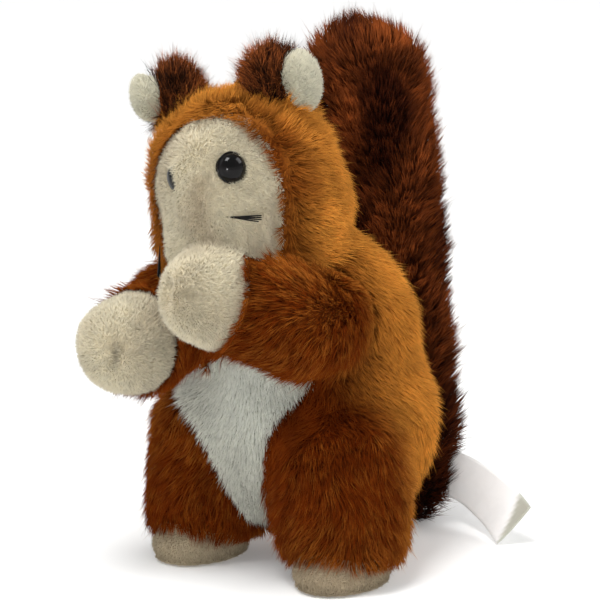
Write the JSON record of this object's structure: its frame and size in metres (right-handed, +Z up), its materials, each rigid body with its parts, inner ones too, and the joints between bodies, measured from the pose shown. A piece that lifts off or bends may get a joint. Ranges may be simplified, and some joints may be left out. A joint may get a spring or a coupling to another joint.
{
  "type": "plush toy squirrel",
  "caption": "Stuffed plush squirrel that stands upright, paws held out in front, with a tall bushy tail behind its back.",
  "frame": {"origin": "on the floor, under the middle of the toy's bounding box", "axes": "+Z up, the toy faces -Y, its own left side is +X"},
  "size_m": [0.1348, 0.1808, 0.2176],
  "materials": {
    "head_pile": "long ginger faux-fur pile",
    "body_pile": "long ginger faux-fur pile",
    "arm_pile": "long ginger faux-fur pile",
    "leg_pile": "long ginger faux-fur pile",
    "tail_pile": "long dark brown faux-fur pile with rust tips",
    "ear_pile": "long dark brown faux-fur pile",
    "belly_pile": "white short faux-fur pile",
    "face_plush": "short beige plush",
    "paw_plush": "short beige plush",
    "foot_plush": "short beige plush",
    "ear_lining": "short off-white plush",
    "eye": "glossy black",
    "nose": "black satin-stitched thread",
    "whisker": "stiff black nylon bristle",
    "label": "blank white satin ribbon"
  },
  "bodies": {
    "root": {"head": "head_pile", "face": "face_plush", "eye_left": "eye", "eye_right": "eye", "nose": "nose", "whiskers_left": "whisker", "whiskers_right": "whisker", "ear_pile_left": "ear_pile", "ear_pile_right": "ear_pile", "ear_lining_left": "ear_lining", "ear_lining_right": "ear_lining", "trunk": "body_pile", "belly": "belly_pile", "arm_left": "arm_pile", "arm_right": "arm_pile", "paw_left": "paw_plush", "paw_right": "paw_plush", "leg_left": "leg_pile", "leg_right": "leg_pile", "foot_left": "foot_plush", "foot_right": "foot_plush", "tail": "tail_pile", "label": "label"}
  },
  "joints": []
}
